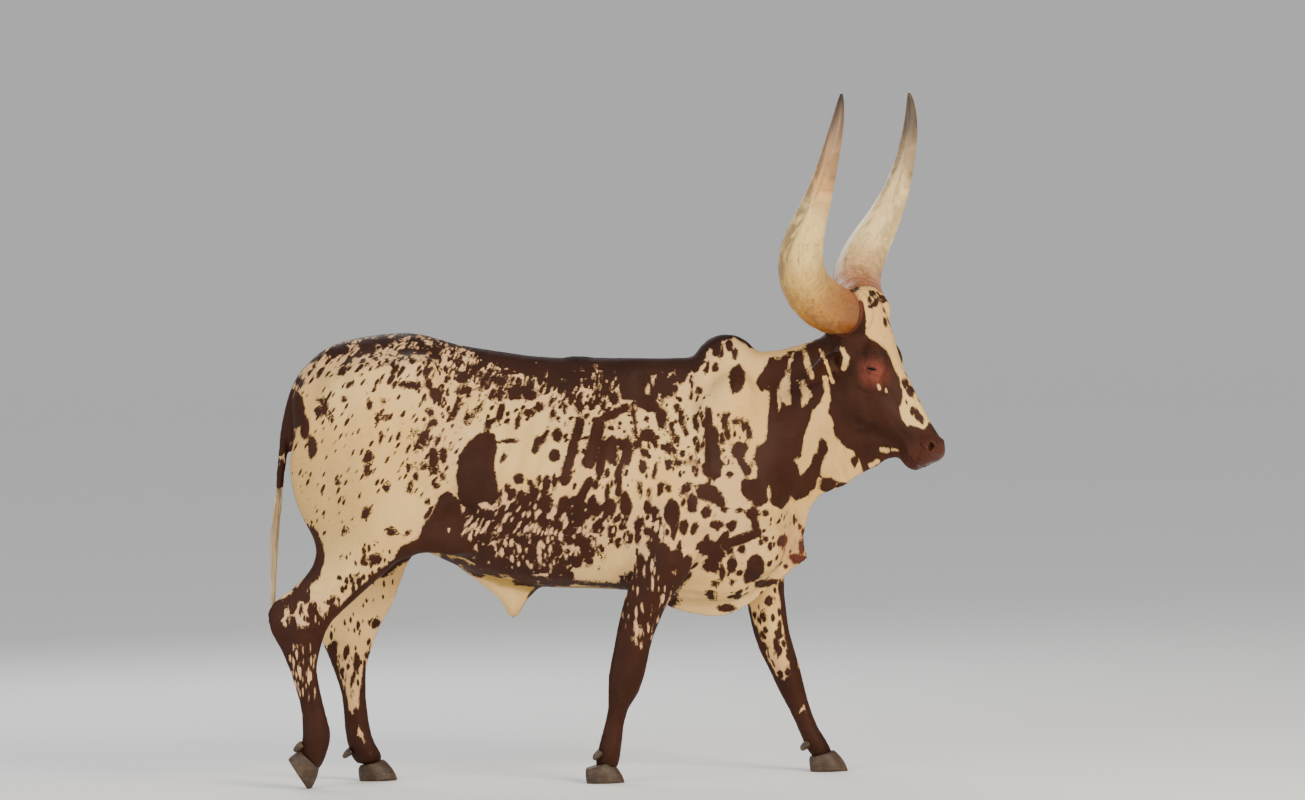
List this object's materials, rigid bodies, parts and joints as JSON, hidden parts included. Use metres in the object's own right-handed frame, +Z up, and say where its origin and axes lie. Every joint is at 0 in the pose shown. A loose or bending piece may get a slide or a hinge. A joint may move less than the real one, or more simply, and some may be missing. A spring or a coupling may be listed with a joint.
{
  "type": "long-horned ox",
  "caption": "Life-size walking ox with very long upswept horns, small hump, hanging dewlap, cloven feet and thin tufted tail.",
  "frame": {"origin": "centre of the bounding box in plan, on the ground under the hooves", "axes": "+X is the way the animal walks, +Y is its left, +Z is up"},
  "size_m": [2.17, 0.8278, 2.1757],
  "materials": {
    "hide": "short cream hair",
    "dark_hide": "short dark red-brown hair",
    "horn": "ivory horn, finely streaked, tips dark grey",
    "claw": "dull brown-grey hoof horn",
    "eye": "wet, nearly black",
    "tail_hair": "long cream hair"
  },
  "bodies": {
    "root": {"torso": "hide", "neck": "hide", "head": "dark_hide", "ear_left": "dark_hide", "ear_right": "dark_hide", "eye_left": "eye", "eye_right": "eye", "horn_left": "horn", "horn_right": "horn", "leg_fore_left": "dark_hide", "leg_fore_right": "dark_hide", "leg_hind_left": "dark_hide", "leg_hind_right": "dark_hide", "claw_fore_left_inner": "claw", "claw_fore_left_outer": "claw", "claw_fore_right_inner": "claw", "claw_fore_right_outer": "claw", "claw_hind_left_inner": "claw", "claw_hind_left_outer": "claw", "claw_hind_right_inner": "claw", "claw_hind_right_outer": "claw", "dewclaw_fore_left_inner": "claw", "dewclaw_fore_left_outer": "claw", "dewclaw_fore_right_inner": "claw", "dewclaw_fore_right_outer": "claw", "dewclaw_hind_left_inner": "claw", "dewclaw_hind_left_outer": "claw", "dewclaw_hind_right_inner": "claw", "dewclaw_hind_right_outer": "claw", "tail": "dark_hide", "tail_switch": "tail_hair"}
  },
  "joints": []
}
